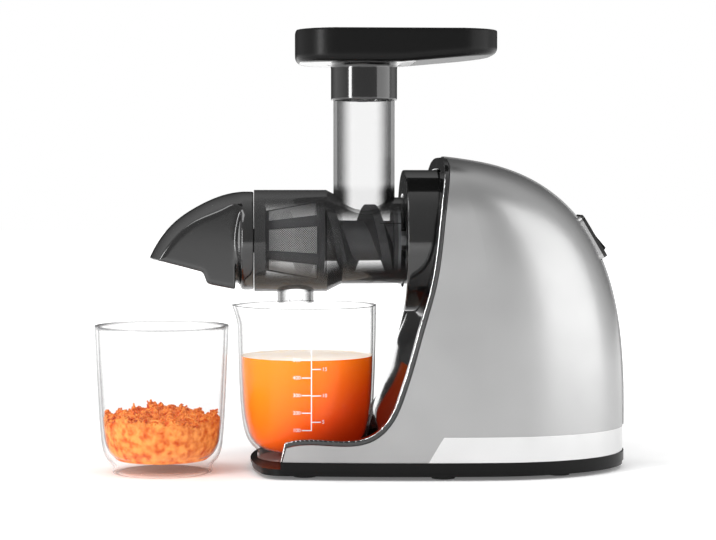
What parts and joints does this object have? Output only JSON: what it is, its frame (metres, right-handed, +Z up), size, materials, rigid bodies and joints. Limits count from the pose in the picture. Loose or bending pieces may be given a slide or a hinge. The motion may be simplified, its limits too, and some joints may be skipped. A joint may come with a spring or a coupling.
{
  "type": "cold press juicer",
  "caption": "Horizontal cold press juicer: motor housing with planetary drive, clear drum holding an auger and strainer, feed tray, juice jug and pulp cup.",
  "frame": {"origin": "centre of the whole object's footprint box, on the table plane under the rubber feet", "axes": "+X along the drive axis from the pulp snout to the rear of the housing, +Y across the machine to its far side in the picture, +Z up"},
  "size_m": [0.397, 0.157, 0.327],
  "materials": {
    "silver": "satin silver moulding",
    "bright": "bright plated band",
    "gloss_black": "high gloss black",
    "satin_black": "satin black",
    "clear": "clear moulding with a smoke tint",
    "clear_cup": "clear moulding",
    "auger_grey": "dark grey food grade plastic",
    "steel": "turned steel",
    "mesh_steel": "fine perforated steel sheet",
    "plated_steel": "zinc plated sheet steel",
    "rubber": "soft black rubber",
    "seal_grey": "grey silicone",
    "nylon": "natural nylon",
    "copper": "copper segments",
    "magnet": "dark ferrite",
    "laminate": "stacked steel sheet",
    "carbon": "carbon",
    "board_green": "circuit board"
  },
  "bodies": {
    "machine": {"left_shell": "silver", "right_shell": "silver", "crown_strip": "silver", "rear_strip": "silver", "rear_band": "bright", "left_trim": "gloss_black", "right_trim": "gloss_black", "front_fascia": "gloss_black", "drum_dock": "gloss_black", "base_tray": "satin_black", "bottom_plate": "satin_black", "rubber_feet": "rubber", "cord_bushing": "rubber", "shaft_seal": "seal_grey", "gearbox_housing": "nylon", "gearbox_cover": "plated_steel", "output_bearings": "steel", "ring_gear": "nylon", "motor_can": "plated_steel", "motor_magnets": "magnet", "brush_holder": "satin_black", "carbon_brushes": "carbon", "motor_end_cap": "plated_steel", "motor_bearings": "steel", "motor_cradle": "satin_black", "cradle_screws": "steel", "board_spacers": "nylon", "control_board": "board_green", "run_capacitor": "satin_black", "terminal_block": "nylon", "flange_screws": "steel", "plate_screws": "steel", "switch_bezel": "silver", "switch_contacts": "satin_black"},
    "drive": {"drive_hub": "steel", "output_shaft": "steel", "planet_carrier": "steel", "planet_pins": "steel"},
    "motor_rotor": {"motor_shaft": "steel", "armature": "laminate", "commutator": "copper", "cooling_fan": "satin_black", "sun_pinion": "steel"},
    "planet_1": {"planet_gear_1": "nylon"},
    "planet_2": {"planet_gear_2": "nylon"},
    "planet_3": {"planet_gear_3": "nylon"},
    "rocker": {"rocker_switch": "satin_black"},
    "drum": {"juicing_drum": "clear", "drum_seal": "seal_grey"},
    "auger_body": {"auger": "auger_grey", "auger_shank": "steel", "auger_seal": "seal_grey"},
    "cap": {"end_cap": "gloss_black"},
    "strainer": {"strainer_frame": "auger_grey", "strainer_mesh": "mesh_steel"},
    "tray": {"feed_tray": "satin_black"},
    "jug": {"juice_jug": "clear_cup"},
    "cup": {"pulp_cup": "clear_cup"}
  },
  "joints": [
    {"name": "output_spin", "type": "hinge", "parent": "machine", "child": "drive", "pos_m": [0, 0, 0.1706], "axis": [1, 0, 0], "continuous": true},
    {"name": "motor_spin", "type": "hinge", "parent": "machine", "child": "motor_rotor", "pos_m": [0, 0, 0.1706], "axis": [1, 0, 0], "continuous": true},
    {"name": "planet_1_spin", "type": "hinge", "parent": "drive", "child": "planet_1", "pos_m": [0, 0.0225, 0.1706], "axis": [1, 0, 0], "continuous": true},
    {"name": "planet_2_spin", "type": "hinge", "parent": "drive", "child": "planet_2", "pos_m": [0, -0.01125, 0.19009], "axis": [1, 0, 0], "continuous": true},
    {"name": "planet_3_spin", "type": "hinge", "parent": "drive", "child": "planet_3", "pos_m": [0, -0.01125, 0.15111], "axis": [1, 0, 0], "continuous": true},
    {"name": "rocker_tilt", "type": "hinge", "parent": "machine", "child": "rocker", "pos_m": [0.17023, 0, 0.1719], "axis": [0, 1, 0], "range_deg": [0, 12]},
    {"name": "drum_pull", "type": "slide", "parent": "machine", "child": "drum", "axis": [-1, 0, 0], "range_m": [0, 0.12]},
    {"name": "auger_spin", "type": "hinge", "parent": "drum", "child": "auger_body", "pos_m": [0, 0, 0.1706], "axis": [1, 0, 0], "continuous": true},
    {"name": "end_cap_pull", "type": "slide", "parent": "drum", "child": "cap", "axis": [-1, 0, 0], "range_m": [0, 0.1]},
    {"name": "strainer_pull", "type": "slide", "parent": "drum", "child": "strainer", "axis": [-1, 0, 0], "range_m": [0, 0.1]},
    {"name": "tray_lift", "type": "slide", "parent": "drum", "child": "tray", "axis": [0, 0, 1], "range_m": [0, 0.06]},
    {"name": "jug_slide", "type": "slide", "parent": "machine", "child": "jug", "axis": [-1, 0, 0], "range_m": [0, 0.12]},
    {"name": "pulp_cup_slide", "type": "slide", "parent": "machine", "child": "cup", "axis": [-1, 0, 0], "range_m": [0, 0.12]}
  ],
  "couplings": [
    {"joint": "motor_spin", "follows": "output_spin", "ratio": 6},
    {"joint": "planet_1_spin", "follows": "output_spin", "ratio": -2.5},
    {"joint": "planet_2_spin", "follows": "output_spin", "ratio": -2.5},
    {"joint": "planet_3_spin", "follows": "output_spin", "ratio": -2.5},
    {"joint": "auger_spin", "follows": "output_spin", "ratio": 1},
    {"joint": "strainer_pull", "follows": "end_cap_pull", "ratio": 1},
    {"joint": "pulp_cup_slide", "follows": "jug_slide", "ratio": 1}
  ]
}
